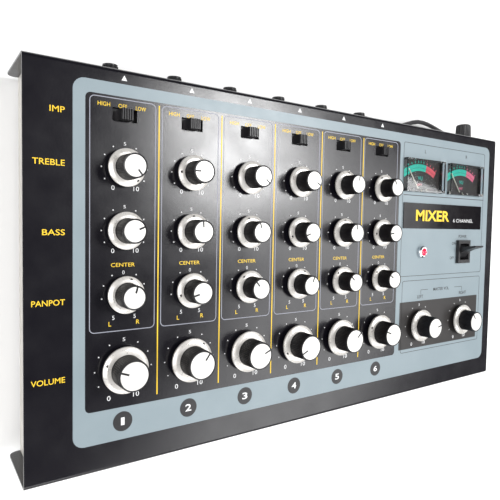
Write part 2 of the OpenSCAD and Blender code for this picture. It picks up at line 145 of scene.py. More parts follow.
def finish_of(name, colour, second, rough, grain=900.0, bump=0.05, grain_depth=0.1,
              patch=60.0, metallic=0.0, specular=0.5, coat=0.0, rings=0.0,
              wear=None, wear_low=0.7, transmission=0.0, lamp_and_painted_glow=0.0):
    """A surface that drifts between two colours and two roughnesses over
    patches, with a fine grain in relief. wear is the colour that shows where
    the finish has rubbed off. A glow makes the colour shine by itself: the
    pilot lamp's own light, and painted light on the meter inks."""
    material = bpy.data.materials.new(name)
    material.use_nodes = True
    tree = material.node_tree
    shader = tree.nodes["Principled BSDF"]
    place = tree.nodes.new("ShaderNodeTexCoord").outputs["Object"]
    drift = spread(tree, noise(tree, place, patch), 0.0, 1.0)
    colour_out = mixed(tree, drift, colour, second)
    if wear is not None:
        rubbed = spread(tree, noise(tree, place, patch * 6, 8.0, 0.7), 0.0, 1.0,
                        wear_low, wear_low + WEAR_EDGE)
        colour_out = mixed(tree, rubbed, colour_out, wear)
    tree.links.new(colour_out, shader.inputs["Base Color"])
    smudge = noise(tree, place, patch * 2.5, 5.0)
    tree.links.new(spread(tree, smudge, rough[0], rough[1]),
                   shader.inputs["Roughness"])
    height = noise(tree, place, grain, 3.0)
    if rings > 0:
        wave = node_of(tree, "ShaderNodeTexWave", Scale=rings, Distortion=0.4)
        wave.wave_type = "RINGS"
        wave.rings_direction = "Z"
        tree.links.new(place, wave.inputs["Vector"])
        height = wave.outputs["Fac"]
    relief = node_of(tree, "ShaderNodeBump", Strength=bump,
                     Distance=grain_depth * MM)
    tree.links.new(height, relief.inputs["Height"])
    tree.links.new(relief.outputs["Normal"], shader.inputs["Normal"])
    for socket, value in (("Metallic", metallic), ("Specular IOR Level", specular),
                          ("Coat Weight", coat), ("Coat Roughness", COAT_ROUGHNESS),
                          ("Transmission Weight", transmission), ("IOR", IOR)):
        shader.inputs[socket].default_value = value
    if lamp_and_painted_glow > 0:
        shader.inputs["Emission Color"].default_value = (*colour, 1)
        shader.inputs["Emission Strength"].default_value = lamp_and_painted_glow
    return material


BLACK_PAINT = finish_of(
    "black_paint", (0.0032, 0.0028, 0.0056), (0.0064, 0.0055, 0.0085), (0.20, 0.27),
    grain=1100, bump=0.16, grain_depth=0.12, patch=22, specular=0.62,
    wear=(0.55, 0.54, 0.52), wear_low=0.79)
CREAM_PAINT = finish_of(
    "cream_paint", (0.74, 0.71, 0.66), (0.66, 0.62, 0.57), (0.35, 0.5),
    grain=700, bump=0.12, patch=30)
RUBBER = finish_of(
    "rubber", (0.022, 0.022, 0.022), (0.035, 0.034, 0.033), (0.62, 0.8),
    grain=1500, bump=0.3, patch=120, specular=0.3)
DARK_STEEL = finish_of(
    "dark_steel", (0.10, 0.10, 0.105), (0.17, 0.16, 0.16), (0.3, 0.45),
    grain=2000, bump=0.1, patch=180, metallic=1.0)
BOARD = finish_of(
    "board", (0.06, 0.16, 0.06), (0.10, 0.22, 0.08), (0.35, 0.5),
    grain=400, bump=0.2, patch=90)
IRON = finish_of(
    "iron_core", (0.16, 0.15, 0.15), (0.25, 0.22, 0.2), (0.5, 0.7),
    grain=900, bump=0.3, patch=150, metallic=0.7)
PLATED = finish_of(
    "plated_steel", (0.62, 0.61, 0.58), (0.5, 0.49, 0.47), (0.28, 0.42),
    grain=1600, bump=0.1, patch=160, metallic=1.0)
BLACK_PLASTIC = finish_of(
    "black_plastic", (0.016, 0.016, 0.018), (0.026, 0.025, 0.027), (0.28, 0.42),
    grain=2200, bump=0.14, patch=140)
NICKEL = finish_of(
    "nickel", (0.74, 0.71, 0.66), (0.6, 0.57, 0.53), (0.16, 0.3),
    grain=2400, bump=0.08, patch=200, metallic=1.0)
CORD_RUBBER = finish_of(
    "cord_rubber", (0.025, 0.024, 0.027), (0.04, 0.038, 0.041), (0.42, 0.6),
    grain=1800, bump=0.2, patch=90)
DIAL_CARD = finish_of(
    "dial_card", (0.042, 0.037, 0.036), (0.058, 0.05, 0.047), (0.6, 0.75),
    grain=1200, bump=0.1, patch=80)
CLEAR = finish_of(
    "clear_plastic", (0.95, 0.97, 0.98), (0.90, 0.93, 0.95), (0.02, 0.06),
    grain=400, bump=0.02, patch=60, transmission=1.0)
NEEDLE = finish_of(
    "needle", (0.86, 0.82, 0.72), (0.78, 0.73, 0.62), (0.3, 0.45),
    grain=2500, bump=0.05, patch=300, metallic=0.2)
PLATE_BLACK = finish_of(
    "plate_black", (0.004, 0.0035, 0.005), (0.008, 0.0065, 0.008), (0.10, 0.18),
    grain=500, bump=0.03, patch=40, specular=0.22)
CHROME = finish_of(
    "chrome", (0.82, 0.82, 0.84), (0.74, 0.74, 0.76), (0.06, 0.16),
    grain=1500, bump=0.04, patch=200, metallic=1.0)
RED_LENS = finish_of(
    "red_lens", (0.9, 0.03, 0.09), (0.8, 0.02, 0.06), (0.08, 0.15),
    grain=1200, bump=0.08, patch=300, coat=0.6, lamp_and_painted_glow=0.35)
KNOB_BLACK = finish_of(
    "knob_black", (0.006, 0.0055, 0.0075), (0.012, 0.011, 0.013), (0.3, 0.42),
    grain=2600, bump=0.1, patch=260, specular=0.35)
KNOB_SKIRT = finish_of(
    "knob_skirt", (0.78, 0.76, 0.73), (0.70, 0.67, 0.63), (0.24, 0.36),
    bump=0.12, grain_depth=0.05, patch=160, metallic=0.35, rings=1500,
    wear=(0.42, 0.38, 0.33), wear_low=0.72)
KNOB_CAP = finish_of(
    "knob_cap", (0.80, 0.79, 0.77), (0.72, 0.71, 0.68), (0.26, 0.36),
    bump=0.1, grain_depth=0.04, patch=160, metallic=0.15, rings=1900,
    wear=(0.5, 0.47, 0.42), wear_low=0.75)
INK_GREY = finish_of(
    "ink_grey", (0.215, 0.268, 0.295), (0.24, 0.294, 0.322), (0.34, 0.44),
    grain=1300, bump=0.14, patch=26, wear=(0.2, 0.23, 0.24), wear_low=0.765)
INK_YELLOW = finish_of(
    "ink_yellow", (0.88, 0.60, 0.025), (0.80, 0.52, 0.02), (0.4, 0.5),
    grain=1500, bump=0.1, patch=60)
INK_WHITE = finish_of(
    "ink_white", (0.80, 0.80, 0.80), (0.68, 0.69, 0.70), (0.4, 0.5),
    grain=1500, bump=0.1, patch=90)
INK_LINE = finish_of(
    "ink_line", (0.30, 0.31, 0.36), (0.24, 0.25, 0.30), (0.4, 0.5),
    grain=1500, bump=0.1, patch=90)
INK_DARK = finish_of(
    "ink_dark", (0.012, 0.012, 0.014), (0.024, 0.023, 0.025), (0.35, 0.45),
    grain=1500, bump=0.1, patch=60)
INK_PATCH = finish_of(
    "ink_patch", (0.016, 0.0145, 0.0145), (0.024, 0.021, 0.020), (0.34, 0.44),
    grain=1300, bump=0.14, patch=30)
# The dial inks carry a faint glow of their own: painted light, standing in for light
# that reaches the dial through the window.
INK_TEAL = finish_of(
    "ink_teal", (0.012, 0.62, 0.46), (0.01, 0.52, 0.39), (0.45, 0.55),
    grain=1500, bump=0.08, patch=90, lamp_and_painted_glow=0.10)
INK_RED = finish_of(
    "ink_red", (0.80, 0.10, 0.13), (0.70, 0.08, 0.11), (0.45, 0.55),
    grain=1500, bump=0.08, patch=90, lamp_and_painted_glow=0.10)
INK_PINK = finish_of(
    "ink_pink", (0.78, 0.16, 0.27), (0.70, 0.12, 0.22), (0.45, 0.55),
    grain=1500, bump=0.08, patch=90, lamp_and_painted_glow=0.10)


# ---- mesh helpers, all in millimetres until a piece is placed ----

BEVEL_SEGMENTS = 2
BEVEL_DEG = 35
CORNER_STEPS = 6
ARC_STEPS = 14


def mesh_of(name, bm, materials, smooth_deg=None):
    """Turns a bmesh in millimetres into a mesh in metres, and frees it."""
    bmesh.ops.recalc_face_normals(bm, faces=bm.faces)
    mesh = bpy.data.meshes.new(name)
    bm.to_mesh(mesh)
    bm.free()
    mesh.transform(Matrix.Scale(MM, 4))
    for material in materials:
        mesh.materials.append(material)
    if smooth_deg is not None:
        mesh.shade_smooth()
        mesh.set_sharp_from_angle(angle=math.radians(smooth_deg))
    return mesh


def placed(name, bm, materials, body="case", at=(0, 0, 0), turn=None,
           smooth_deg=None):
    """Makes a piece from a bmesh in millimetres and puts it on its body."""
    return instance(name, mesh_of(name, bm, materials, smooth_deg), body, at,
                    turn)


def instance(name, mesh, body, at, turn=None):
    piece = bpy.data.objects.new(name, mesh)
    scene.collection.objects.link(piece)
    piece.location = Vector(at) * MM
    if turn is not None:
        piece.rotation_euler = turn
    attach(piece, body)
    return piece


def bevelled(piece, width):
    made = piece.modifiers.new("soft_edges", "BEVEL")
    made.width = width * MM
    made.segments = BEVEL_SEGMENTS
    made.limit_method = "ANGLE"
    made.angle_limit = math.radians(BEVEL_DEG)
    made.harden_normals = False


def lathe(bm, profile, sides, slot=0, flute=0.0, fluted=(), closed=False):
    """Turns (radius, height) points round Z. Rows listed in fluted are cut by
    rounded grooves, one for every four sides."""
    rings = []
    for row, (radius, height) in enumerate(profile):
        if radius <= 0:
            rings.append([bm.verts.new((0, 0, height))])
            continue
        ring = []
        for k in range(sides):
            cut = flute * (0, 0.5, 1, 0.5)[k % 4] if row in fluted else 0
            angle = 2 * math.pi * k / sides
            ring.append(bm.verts.new(((radius - cut) * math.cos(angle),
                                      (radius - cut) * math.sin(angle), height)))
        rings.append(ring)
    pairs = list(zip(rings, rings[1:]))
    if closed:
        pairs.append((rings[-1], rings[0]))
    for a, b in pairs:
        for k in range(sides):
            n = (k + 1) % sides
            if len(a) == 1:
                corners = (a[0], b[k], b[n])
            elif len(b) == 1:
                corners = (a[k], b[0], a[n])
            else:
                corners = (a[k], b[k], b[n], a[n])
            bm.faces.new(corners).material_index = slot


def extruded(bm, loops, z0, z1, slot=0):
    """A closed flat solid from an outline and any holes in it."""
    flat = [point for loop in loops for point in loop]
    low = [bm.verts.new((x, y, z0)) for x, y in flat]
    high = [bm.verts.new((x, y, z1)) for x, y in flat]
    outlines = [[Vector((x, y, 0)) for x, y in loop] for loop in loops]
    for a, b, c in tessellate_polygon(outlines):
        bm.faces.new((high[a], high[b], high[c])).material_index = slot
        bm.faces.new((low[c], low[b], low[a])).material_index = slot
    start = 0
    for loop in loops:
        count = len(loop)
        for k in range(count):
            a, b = start + k, start + (k + 1) % count
            bm.faces.new((low[a], low[b], high[b], high[a])).material_index = slot
        start += count


def rounded(x0, y0, x1, y1, r):
    points = []
    for cx, cy, start in ((x1 - r, y1 - r, 0), (x0 + r, y1 - r, 90),
                          (x0 + r, y0 + r, 180), (x1 - r, y0 + r, 270)):
        for k in range(CORNER_STEPS + 1):
            angle = math.radians(start + 90 * k / CORNER_STEPS)
            points.append((cx + r * math.cos(angle), cy + r * math.sin(angle)))
    return points


def disc(x, y, r, steps=16):
    return [(x + r * math.cos(2 * math.pi * k / steps),
             y + r * math.sin(2 * math.pi * k / steps)) for k in range(steps)]


def bar(x0, y0, x1, y1):
    return [(x0, y0), (x1, y0), (x1, y1), (x0, y1)]


def stroke(x0, y0, x1, y1, width):
    along = Vector((x1 - x0, y1 - y0)).normalized()
    side = Vector((-along.y, along.x)) * width / 2
    return [(x0 - side.x, y0 - side.y), (x1 - side.x, y1 - side.y),
            (x1 + side.x, y1 + side.y), (x0 + side.x, y0 + side.y)]


def band(cx, cy, r0, r1, a0, a1):
    """Part of a ring. Angles are in degrees clockwise from straight up."""
    angles = [math.radians(a0 + (a1 - a0) * k / ARC_STEPS)
              for k in range(ARC_STEPS + 1)]
    outer = [(cx + r1 * math.sin(a), cy + r1 * math.cos(a)) for a in angles]
    inner = [(cx + r0 * math.sin(a), cy + r0 * math.cos(a)) for a in angles]
    return outer + inner[::-1]


class Ink:
    """Printing of one colour: flat shapes and letters, joined into one piece."""

    def __init__(self, name, material, base, height=0.06):
        self.name, self.material = name, material
        self.low, self.high = base - 0.02, base + height
        self.bm = bmesh.new()

    def shape(self, *loops):
        extruded(self.bm, loops, self.low, self.high)

    def outline(self, x0, y0, x1, y1, r, width):
        self.shape(rounded(x0, y0, x1, y1, r),
                   rounded(x0 + width, y0 + width, x1 - width, y1 - width,
                           max(r - width, 0.2)))

    def word(self, text, x, y, height, width=None, align=0.5, heavy=0.0):
        """Letters of that height, their box's middle at y, and at x its left
        end, middle or right end for align 0, 0.5 or 1."""
        curve = bpy.data.curves.new("word", "FONT")
        curve.body = text
        curve.offset = heavy
        curve.extrude = 0.5
        curve.resolution_u = 3
        holder = bpy.data.objects.new("word", curve)
        scene.collection.objects.link(holder)
        bpy.context.view_layer.update()
        graph = bpy.context.evaluated_depsgraph_get()
        mesh = bpy.data.meshes.new_from_object(holder.evaluated_get(graph))
        xs = [v.co.x for v in mesh.vertices]
        ys = [v.co.y for v in mesh.vertices]
        tall = height / (max(ys) - min(ys))
        wide = width / (max(xs) - min(xs)) if width else tall
        left = x - align * wide * (max(xs) - min(xs))
        for v in mesh.vertices:
            v.co = (left + (v.co.x - min(xs)) * wide,
                    y + (v.co.y - (min(ys) + max(ys)) / 2) * tall,
                    self.low if v.co.z < 0 else self.high)
        self.bm.from_mesh(mesh)
        bpy.data.objects.remove(holder)
        bpy.data.curves.remove(curve)
        bpy.data.meshes.remove(mesh)

    def done(self):
        bmesh.ops.remove_doubles(self.bm, verts=self.bm.verts, dist=1e-4)
        return placed(self.name, self.bm, [self.material], at=ORIGIN)


# ---- mains lead: its route repeats the frame's own points ----

CORD_D = 4.0
LEAD_Y = REAR_Y + 6.5
LEAD = (
    (98, 0, 19), (105, 0, 19), (112, 0.5, 18.9), (120, 1.8, 18.6), (130, 4.9, 17.9),
    (140, 8, 16.7), (150, 10.1, 15.1), (160, 10.8, 13.3), (170, 10.5, 11.5),
    (180, 9.6, 9.6), (190, 8.5, 7.6), (200, 7.3, 5.7), (210, 5.9, 4), (220, 4.5, 2.7),
    (230, 2.9, 2), (240, 1.3, 2), (246, 0.6, 2), (252, 0.35, 2),
)
TAIL = (
    (284, 84, 6), (284, 75, 6), (283, 66, 5.9), (280, 57.5, 4.8), (275.5, 49.5, 4.1),
    (270.7, 41.5, 4.1), (267.3, 33, 4.7), (266, 24, 5.8), (266, 16, 6.5),
)
COIL_R = (32.0, 16.0)
COIL_C = Vector((252, LEAD_Y + 0.35 - COIL_R[0]))
COIL_STEPS = 40
COIL_TURNS = 4
TIE_TURN = -150


def coil_points():
    """Four turns in on the table, a quarter turn up, four turns out on top."""
    points = []
    first, climb = COIL_TURNS * COIL_STEPS, COIL_STEPS // 4
    total = 2 * first + climb
    for k in range(1, total):
        angle = math.pi / 2 - 2 * math.pi * k / COIL_STEPS
        if k <= first:
            radius, height = COIL_R[0] - CORD_D * k / COIL_STEPS, CORD_D / 2
        elif k <= first + climb:
            radius, height = COIL_R[1], CORD_D / 2 + CORD_D * (k - first) / climb
        else:
            turned = (k - first - climb) / COIL_STEPS
            radius, height = COIL_R[1] + CORD_D * turned, 1.5 * CORD_D
        points.append((COIL_C.x + radius * math.cos(angle),
                       COIL_C.y + radius * math.sin(angle), height))
    return points


def add_cord():
    route = [(x, LEAD_Y + dy, z) for x, dy, z in LEAD]
    route += coil_points()
    route += TAIL
    points = [Vector(p) * MM for p in route]
    curve = bpy.data.curves.new("mains_lead", "CURVE")
    curve.dimensions = "3D"
    curve.bevel_depth = CORD_D / 2 * MM
    curve.bevel_resolution = 3
    curve.use_fill_caps = True
    spline = curve.splines.new("POLY")
    spline.points.add(len(points) - 1)
    for target, point in zip(spline.points, points):
        target.co = (*point, 1)
    spline.use_smooth = True
    curve.materials.append(CORD_RUBBER)
    lead = bpy.data.objects.new("mains_lead", curve)
    scene.collection.objects.link(lead)
    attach(lead, "case")
    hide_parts("mains_cord", "cord_coil")
    tie = add_tie()


def add_tie():
    """A flat band drawn tight round the coil, with its twisted ends on top."""
    bm = bmesh.new()
    mid = sum(COIL_R) / 2
    half = (COIL_R[0] - COIL_R[1]) / 2 + CORD_D / 2 + 0.3
    outer = rounded(mid - half, 0.05, mid + half, 2 * CORD_D + 0.3, 1.8)
    inner = rounded(mid - half + 0.6, 0.65, mid + half - 0.6,
                    2 * CORD_D - 0.3, 1.3)
    extruded(bm, [outer, inner], -2.5, 2.5)
    for k in (-1, 1):
        extruded(bm, [stroke(mid, 2 * CORD_D, mid + 6 * k, 2 * CORD_D + 2.4, 0.7)],
                 -1.2, 1.2)
    bmesh.ops.rotate(bm, verts=bm.verts, cent=(0, 0, 0),
                     matrix=Matrix.Rotation(math.pi / 2, 3, "X"))
    bmesh.ops.rotate(bm, verts=bm.verts, cent=(0, 0, 0),
                     matrix=Matrix.Rotation(math.radians(TIE_TURN), 3, "Z"))
    piece = placed("cord_tie", bm, [BLACK_PLASTIC],
                   at=(COIL_C.x, COIL_C.y, 0))
    bevelled(piece, 0.12)
    return piece


# ---- printing on the panel ----

LEFT_LABELS = (("IMP", 145.5, 7.8), ("TREBLE", 117.2, 16.5), ("BASS", 79.8, 11.7),
               ("PANPOT", 41.7, 17.2), ("VOLUME", -1.3, 17.6))
LEFT_LABEL_X = -33.3
SWITCH_LABELS = (("HIGH", -15.7, -8.7), ("OFF", -3.9, 1.2), ("LOW", 6.4, 12.6))
DIVIDER_X = (21, 64.3, 107, 150.3, 193.7)
BADGE_X, BADGE_Y, BADGE_R = -0.5, -31.4, 5.9
TONE_DIAL = {"zero_x": -6.9, "ten_x": 6.9, "label_y": -11.6, "height": 2.6}
LEVEL_DIAL = {"zero_x": -8.9, "ten_x": 7.6, "label_y": -16.3, "height": 2.9}
DIAL_STEP, PAN_STEP = 30, 33
PAN_DOT_RING = 13.3
DOT_R = 0.42
WINDOW_HALF = (26, 14.1)
SWITCH_HALF = (8.5, 10)
LAMP_CLEAR_R = 4.5
SHAFT_CLEAR_R = 6.2
MASTER_HOLES = [disc(x, 0, SHAFT_CLEAR_R, 24) for x in MASTER_X]


def print_panel():
    grey = Ink("print_grey", INK_GREY, 0)
    white = Ink("print_white", INK_WHITE, 0)
    yellow = Ink("print_yellow", INK_YELLOW, 0)
    lines = Ink("print_outlines", INK_LINE, 0)
    windows = [clear_of(x, METER_Y, WINDOW_HALF) for x in MASTER_X]
    power = middle("power_switch_body") - ORIGIN
    lamp = middle("pilot_lamp_bezel") - ORIGIN
    grey.shape(rounded(-29.2, -42.1, 367.7, 164.4, 6.5),
               rounded(-22.5, -22.8, 237.3, 157.2, 3), *windows,
               clear_of(power.x, power.y, SWITCH_HALF),
               disc(lamp.x, lamp.y, LAMP_CLEAR_R, 24), *MASTER_HOLES)
    for x in CHANNEL_X:
        lines.outline(x - 20.3, 22.5, x + 19, 156, 3, 0.5)
        white.shape([(x - 2.2, 166.4), (x + 1.2, 166.4), (x - 0.5, 169.4)])
        for text, x0, x1 in SWITCH_LABELS:
            yellow.word(text, x + (x0 + x1) / 2, SWITCH_Y + 4.9, 2.3, x1 - x0,
                        heavy=0.003)
        yellow.word("CENTER", x - 0.75, 61.2, 2.3, 14.3, heavy=0.004)
        for row in ("treble", "bass"):
            dial_marks(white, x, TONE_ROWS[row], 13.5, **TONE_DIAL)
        pan_marks(white, yellow, x)
        dial_marks(white, x, 0, 17.1, **LEVEL_DIAL)
    for x in DIVIDER_X:
        yellow.shape(bar(x - 0.36, -19, x + 0.36, 155.4))
    for text, y, width in LEFT_LABELS:
        yellow.word(text, LEFT_LABEL_X, y, 3.2, width, align=1, heavy=0.007)
    grey.done()
    white.done()
    yellow.done()
    lines.done()


def clear_of(x, y, half):
    return bar(x - half[0], y - half[1], x + half[0], y + half[1])


def dial_dots(ink, x, y, radius, spacing, steps):
    """Dots round a knob, with none at the top, where a number stands."""
    for step in range(-steps, steps + 1):
        angle = math.radians(spacing * step)
        if step:
            ink.shape(disc(x + radius * math.sin(angle),
                           y + radius * math.cos(angle), DOT_R, 12))


def dial_marks(ink, x, y, radius, zero_x, ten_x, label_y, height):
    dial_dots(ink, x, y, radius, DIAL_STEP, 4)
    ink.word("5", x, y + radius + 0.3, height * 0.72, height * 0.55)
    ink.word("0", x + zero_x, y + label_y, height, height * 0.72)
    ink.word("1", x + ten_x - height * 0.55, y + label_y, height)
    ink.word("0", x + ten_x + height * 0.3, y + label_y, height, height * 0.72)


def pan_marks(white, yellow, x):
    y = TONE_ROWS["panpot"]
    white.word("0", x - 0.5, y + 12.7, 2.2)
    dial_dots(white, x, y, PAN_DOT_RING, PAN_STEP, 3)
    for side, text in ((-1, "L"), (1, "R")):
        white.word("5", x + 6.4 * side, y - 13.4, 2.4)
        yellow.word(text, x + 8.4 * side, y - 16.9, 2.6, heavy=0.004)


def print_master():
    dark = Ink("print_dark", INK_DARK, 0.05)
    patch = Ink("print_patch", INK_PATCH, 0.05)
    white = Ink("print_master_white", INK_WHITE, 0.10)
    dark.outline(241.5, 43.6, 360, 157.8, 2, 0.4)
    dark.outline(244.8, -23, 359, 39.8, 2, 0.4)
    dark.shape(bar(243, 113.2, 360.5, 113.8))
    patch.shape(rounded(242.4, -20, 355.3, 21.3, 0.6), *MASTER_HOLES)
    for i, x in enumerate(CHANNEL_X):
        dark.shape(disc(x + BADGE_X, BADGE_Y, BADGE_R, 40))
        white.word(str(i + 1), x + BADGE_X, BADGE_Y, 4.6, 4.2 if i else 2.2,
                   heavy=0.02)
    for text, x, y, height in (
            ("L", 270, 152, 2.9), ("R", 330, 152.5, 2.9), ("POWER", 328.8, 78.3, 2.6),
            ("ON", 315.5, 71.7, 2.6), ("OFF", 313.2, 58.3, 2.6),
            ("MASTER VOL.", 299.2, 30.5, 2.8), ("LEFT", 269.3, 25, 2.8),
            ("RIGHT", 331.9, 25, 2.8)):
        dark.word(text, x, y, height, heavy=0.008)
    for x0, y0, x1, y1 in ((270, 27.1, 270, 30.9), (270, 30.9, 279.8, 30.9),
                           (318.6, 30.9, 330, 30.9), (330, 27.1, 330, 30.9)):
        dark.shape(stroke(x0, y0, x1, y1, 0.35))
    for x in MASTER_X:
        dial_marks(white, x, 0, 17.6, **LEVEL_DIAL)
    dark.done()
    patch.done()
    white.done()


def print_name_plate():
    low, high = box_mm("name_plate")
    top = high.z - TOP
    yellow = Ink("name_plate_yellow", INK_YELLOW, top - 0.03, 0.05)
    white = Ink("name_plate_white", INK_WHITE, top - 0.03, 0.05)
    mid_y = (low.y + high.y) / 2 - ORIGIN.y
    left = low.x - ORIGIN.x
    yellow.word("MIXER", left + 16, mid_y + 0.4, 9.6, 47, align=0, heavy=0.028)
    white.word("6 CHANNEL", left + 69, mid_y - 3.2, 3.2, 31, align=0)
    yellow.done()
    white.done()


# ---- meters ----

ARC_DROP = 29
ARC_RINGS = ((33.8, 36.3), (36.6, 39.7))
ARC_START, ARC_CHANGE, ARC_END = -36, 11.6, 32.4
ARC_GAP = 0.3
LOW_TICKS = (-30, -23, -16.5, -10, -4, 0.8, 6)
HIGH_TICKS = (12.4, 19, 25.5, 31.3)


def print_meters():
    card_z = box_mm("meter_dials")[1].z - TOP
    teal = Ink("dial_teal", INK_TEAL, card_z)
    red = Ink("dial_red", INK_RED, card_z)
    pink = Ink("dial_pink", INK_PINK, card_z)
    arc_y = METER_Y - ARC_DROP
    for x, hot, word in ((MASTER_X[0], red, "LEFT"), (MASTER_X[1], pink, "RIGHT")):
        for r0, r1 in ARC_RINGS:
            teal.shape(band(x, arc_y, r0, r1, ARC_START, ARC_CHANGE))
            hot.shape(band(x, arc_y, r0, r1, ARC_CHANGE + ARC_GAP, ARC_END))
        for angle in LOW_TICKS:
            teal.shape(tick(x, arc_y, angle, 40.7, 42.3))
        for angle in HIGH_TICKS:
            hot.shape(tick(x, arc_y, angle, 40.5, 42.1))
        teal.word("VU", x, METER_Y - 1.6, 3.4, 6.2, heavy=0.015)
        hot.word(word, x - 0.4, METER_Y - 7.2, 1.9, 6.0, heavy=0.015)
    teal.done()
    red.done()
    pink.done()


def tick(x, y, angle, r0, r1):
    s, c = math.sin(math.radians(angle)), math.cos(math.radians(angle))
    return stroke(x + r0 * s, y + r0 * c, x + r1 * s, y + r1 * c, 0.9)


def add_meter_screws():
    high = box_mm("meter_windows")[1].z
    for side, x in zip(("left", "right"), MASTER_X):
        bm = bmesh.new()
        lathe(bm, [(0, -0.9), (0.9, -0.9), (1.15, -0.65), (1.15, -0.4), (0.9, -0.12),
                   (0, -0.1)], 24)
        # The slot is a black bar set just proud of the nickel head: painted shade
        # standing in for the dark of the groove.
        extruded(bm, [stroke(-0.8, -0.5, 0.8, 0.5, 0.3)], -0.2, -0.06, slot=1)
        placed(f"meter_screw_{side}", bm, [NICKEL, BLACK_PLASTIC],
               at=(ORIGIN.x + x, ORIGIN.y + METER_Y - 12.3, high),
               smooth_deg=35)


# ---- knobs, sliders and rear fittings ----

TONE_GRIP_R, LEVEL_GRIP_R = 7.3, 9.3
CAP_INSET = 1.2
# How much smaller in radius a skirt is drawn here than in the frame.
TONE_SKIRT_INSET, LEVEL_SKIRT_INSET = 0.7, 0.5
POINTER_WIDTH = 1.1
REAR_SCREW_X = (-190, -11, 130)
FOOT_SCREWS = ((-190, -98), (190, -98), (-190, 98), (190, 98))
SCREW_HEAD = 1.8


def knob_mesh(name, grip, skirt, height):
    bm = bmesh.new()
    cap = grip - CAP_INSET
    lathe(bm, [(0, -8), (3, -8), (3, 2.84), (0, 2.84)], 32, slot=1)
    lathe(bm, [(0, 2.8), (grip - 0.6, 2.8), (grip - 0.15, 3.0), (grip, 3.4),
               (grip, 6), (grip - 0.1, 11), (grip - 0.2, height - 1.5),
               (grip - 0.4, height - 1.15), (grip - 0.3, height - 0.9),
               (grip - 0.3, height - 0.25), (grip - 0.45, height - 0.05),
               (grip - 0.65, height - 0.05), (cap + 0.05, height - 0.2),
               (cap + 0.05, height - 0.5), (0, height - 0.5)],
          192, flute=0.42, fluted=(3, 4, 5, 6))
    lathe(bm, [(grip + 0.05, 3.1), (skirt - 0.5, 3.1), (skirt - 0.1, 3.25),
               (skirt, 3.5), (skirt, 4.35), (skirt - 0.12, 4.6),
               (skirt - 2.1, 5.66), (skirt - 2.35, 5.7), (grip + 0.05, 5.7)],
          128, slot=1, closed=True)
    lathe(bm, [(0, height - 0.48), (cap, height - 0.48), (cap, height - 0.22),
               (cap - 0.15, height - 0.12), (cap * 0.6, height - 0.09),
               (0, height - 0.08)], 96, slot=2)
    extruded(bm, [stroke(0, cap * 0.42, 0, cap + 0.04, POINTER_WIDTH)],
             height - 0.3, height - 0.04)
    extruded(bm, [disc(0, skirt - 1.7, 0.75)], 4.4, 5.6)
    return mesh_of(name, bm, (KNOB_BLACK, KNOB_SKIRT, KNOB_CAP), smooth_deg=32)


def knob_for(name, node, grip, skirt_inset):
    low, high = box_mm(node)
    return knob_mesh(name, grip, (high.x - low.x) / 2 - skirt_inset, high.z - TOP)


def add_knob(node, mesh, pointer):
    place = middle(node)
    piece = instance(f"{node}_detail", mesh, node, (place.x, place.y, TOP),
                     (0, 0, -math.radians(pointer)))
    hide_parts(node)


def add_knobs():
    tone = knob_for("tone_knob", "treble_knob_1", TONE_GRIP_R, TONE_SKIRT_INSET)
    level = knob_for("level_knob", "volume_knob_1", LEVEL_GRIP_R, LEVEL_SKIRT_INSET)
    for row, pointers in POINTERS.items():
        for i, pointer in enumerate(pointers):
            add_knob(f"{row}_knob_{i + 1}", level if row == "volume" else tone,
                     pointer)
    for side, pointer in MASTER_POINTERS.items():
        add_knob(f"master_knob_{side}", level, pointer)


def add_sliders():
    """A button with five ribs across its travel, on its flat carriage."""
    low, high = box_mm("slider_1")
    top, bottom = high.z - TOP, low.z - TOP
    profile = [(-3.45, bottom), (3.45, bottom), (3.45, top - 0.9)]
    for k in range(5):
        x = 2.8 - 1.4 * k
        profile += [(x + 0.38, top - 0.9), (x + 0.28, top - 0.05),
                    (x - 0.28, top - 0.05), (x - 0.38, top - 0.9)]
    profile += [(-3.45, top - 0.9)]
    bm = bmesh.new()
    extruded(bm, [profile], -3.15, 3.15)
    bmesh.ops.rotate(bm, verts=bm.verts, cent=(0, 0, 0),
                     matrix=Matrix.Rotation(math.pi / 2, 3, "X"))
    extruded(bm, [rounded(-6.5, -4.2, 6.5, 4.2, 0.8)], bottom + 1, bottom + 3.9)
    mesh = mesh_of("slider", bm, [BLACK_PLASTIC])
    for i in range(1, 7):
        node = f"slider_{i}"
        place = middle(node)
        piece = instance(f"{node}_detail", mesh, node,
                         (place.x, place.y, TOP))
        bevelled(piece, 0.1)
        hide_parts(node)


def add_fuse_cap():
    out = box_mm("fuse_cap")[1].y - REAR_Y
    bm = bmesh.new()
    lathe(bm, [(0, -12), (3.9, -12), (3.9, 1.6), (6.6, 1.6), (7.0, 1.8), (7.2, 2.4),
               (7.35, 3.0), (6.9, out - 2.2), (6.6, out - 1.2), (6.1, out - 0.5),
               (5.2, out - 0.1), (2.0, out - 0.1), (1.8, out - 0.5),
               (0, out - 0.5)], 96, flute=0.5, fluted=(6, 7))
    extruded(bm, [bar(-4.6, -0.5, 4.6, 0.5)], out - 0.6, out - 0.15)
    place = middle("fuse_cap")
    piece = placed("fuse_cap_detail", bm, [BLACK_PLASTIC], "fuse_cap",
                   (place.x, REAR_Y, place.z),
                   (-math.pi / 2, 0, 0), smooth_deg=32)
    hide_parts("fuse_cap")


